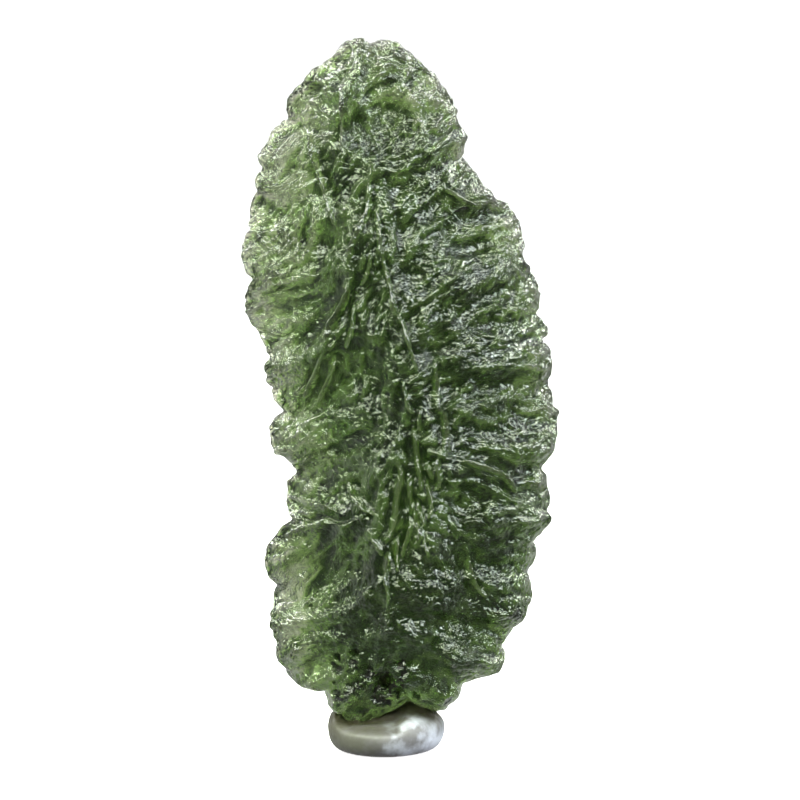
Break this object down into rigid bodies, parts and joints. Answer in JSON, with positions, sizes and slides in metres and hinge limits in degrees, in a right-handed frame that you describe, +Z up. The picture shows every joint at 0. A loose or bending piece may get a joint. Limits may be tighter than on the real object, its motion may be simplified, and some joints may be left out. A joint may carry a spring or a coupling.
{
  "type": "moldavite specimen",
  "caption": "Flat upright drop of green natural glass etched all over into lobes, ribs and pits, standing in a small flat-footed pad of white putty.",
  "frame": {"origin": "centre of the pad's flat underside, on the surface that the specimen stands on", "axes": "+Z up along the stone's length, -Y towards the front face, +X to the right seen from the front"},
  "size_m": [0.0197, 0.0107, 0.0442],
  "materials": {
    "moldavite_glass": "glossy, etched, see-through green",
    "white_putty": "satin, kneaded by hand"
  },
  "bodies": {
    "root": {"moldavite": "moldavite_glass", "putty_pad": "white_putty"}
  },
  "joints": []
}
